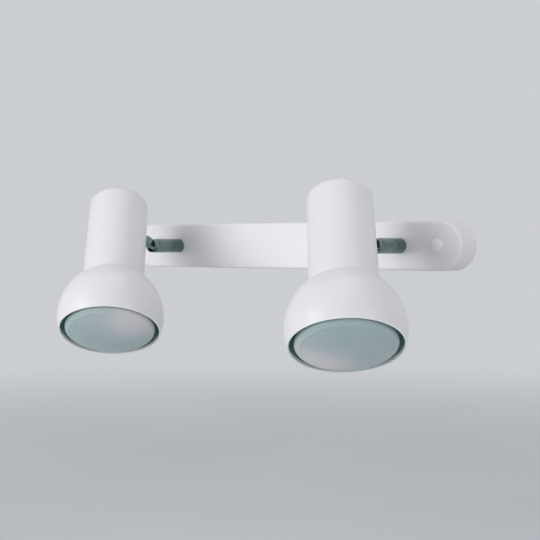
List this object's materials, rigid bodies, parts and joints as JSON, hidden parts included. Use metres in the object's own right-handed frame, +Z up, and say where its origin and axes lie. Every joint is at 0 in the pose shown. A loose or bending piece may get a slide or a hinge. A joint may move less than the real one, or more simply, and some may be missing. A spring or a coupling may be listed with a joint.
{
  "type": "pivoting spotlight wall light",
  "caption": "Wall light with spotlights that turn and tilt on short stems from a long round-ended canopy, each with a bell shade round a reflector lamp.",
  "frame": {"origin": "on the wall behind the middle of the canopy, at the back face of the wall bracket", "axes": "+X along the canopy, +Z up, +Y into the wall; the lights are at -Y"},
  "size_m": [0.3879, 0.1917, 0.1549],
  "materials": {
    "canopy_paint": "satin white powder coat on pressed steel",
    "head_paint": "satin white powder coat on spun steel",
    "satin_nickel": "satin nickel plate",
    "zinc_steel": "bright zinc plate",
    "black_steel": "blackened steel",
    "brass": "plain brass",
    "porcelain": "glazed porcelain",
    "terminal_plastic": "matte natural polyamide",
    "grommet_rubber": "matte black rubber",
    "lamp_glass": "frosted face, silvered inside behind it",
    "lamp_cap_metal": "bright nickel-plated brass",
    "lamp_insulator": "black glass insulator",
    "nut_white": "white painted steel"
  },
  "bodies": {
    "base": {"wall_bracket": "zinc_steel", "canopy_studs": "zinc_steel", "canopy": "canopy_paint", "domed_nuts": "nut_white", "cable_grommet": "grommet_rubber", "terminal_block": "terminal_plastic", "terminal_clamps": "brass", "terminal_screws": "zinc_steel", "terminal_block_screws": "zinc_steel", "earth_screw": "brass", "earth_washer": "brass", "collar_washers": "zinc_steel", "collar_locknuts": "brass", "friction_washers": "black_steel", "pan_stop_pins": "zinc_steel", "swivel_collar_left": "satin_nickel", "swivel_collar_right": "satin_nickel"},
    "turning_left": {"swivel_barrel_left": "satin_nickel", "retaining_ring_left": "black_steel", "pivot_screws_left": "black_steel"},
    "head_left": {"knuckle_left": "satin_nickel", "knuckle_washer_left": "zinc_steel", "knuckle_locknut_left": "brass", "head_tube_left": "head_paint", "shade_left": "head_paint", "lampholder_bracket_left": "zinc_steel", "lampholder_left": "porcelain", "screw_shell_left": "brass", "centre_contact_left": "brass", "lampholder_screws_left": "zinc_steel", "lampholder_terminals_left": "brass", "lamp_glass_left": "lamp_glass", "lamp_cap_left": "lamp_cap_metal", "lamp_insulator_left": "lamp_insulator"},
    "turning_right": {"swivel_barrel_right": "satin_nickel", "retaining_ring_right": "black_steel", "pivot_screws_right": "black_steel"},
    "head_right": {"knuckle_right": "satin_nickel", "knuckle_washer_right": "zinc_steel", "knuckle_locknut_right": "brass", "head_tube_right": "head_paint", "shade_right": "head_paint", "lampholder_bracket_right": "zinc_steel", "lampholder_right": "porcelain", "screw_shell_right": "brass", "centre_contact_right": "brass", "lampholder_screws_right": "zinc_steel", "lampholder_terminals_right": "brass", "lamp_glass_right": "lamp_glass", "lamp_cap_right": "lamp_cap_metal", "lamp_insulator_right": "lamp_insulator"}
  },
  "joints": [
    {"name": "pan_left", "type": "hinge", "parent": "base", "child": "turning_left", "pos_m": [-0.1275, -0.0605, 0], "axis": [0, -1, 0], "range_deg": [-187, 143]},
    {"name": "tilt_left", "type": "hinge", "parent": "turning_left", "child": "head_left", "pos_m": [-0.1275, -0.0605, 0], "axis": [-0.9272, 0, -0.3746], "range_deg": [-40, 50]},
    {"name": "pan_right", "type": "hinge", "parent": "base", "child": "turning_right", "pos_m": [0.1275, -0.0605, 0], "axis": [0, -1, 0], "range_deg": [-187, 143]},
    {"name": "tilt_right", "type": "hinge", "parent": "turning_right", "child": "head_right", "pos_m": [0.1275, -0.0605, 0], "axis": [-0.9272, 0, -0.3746], "range_deg": [-40, 50]}
  ]
}
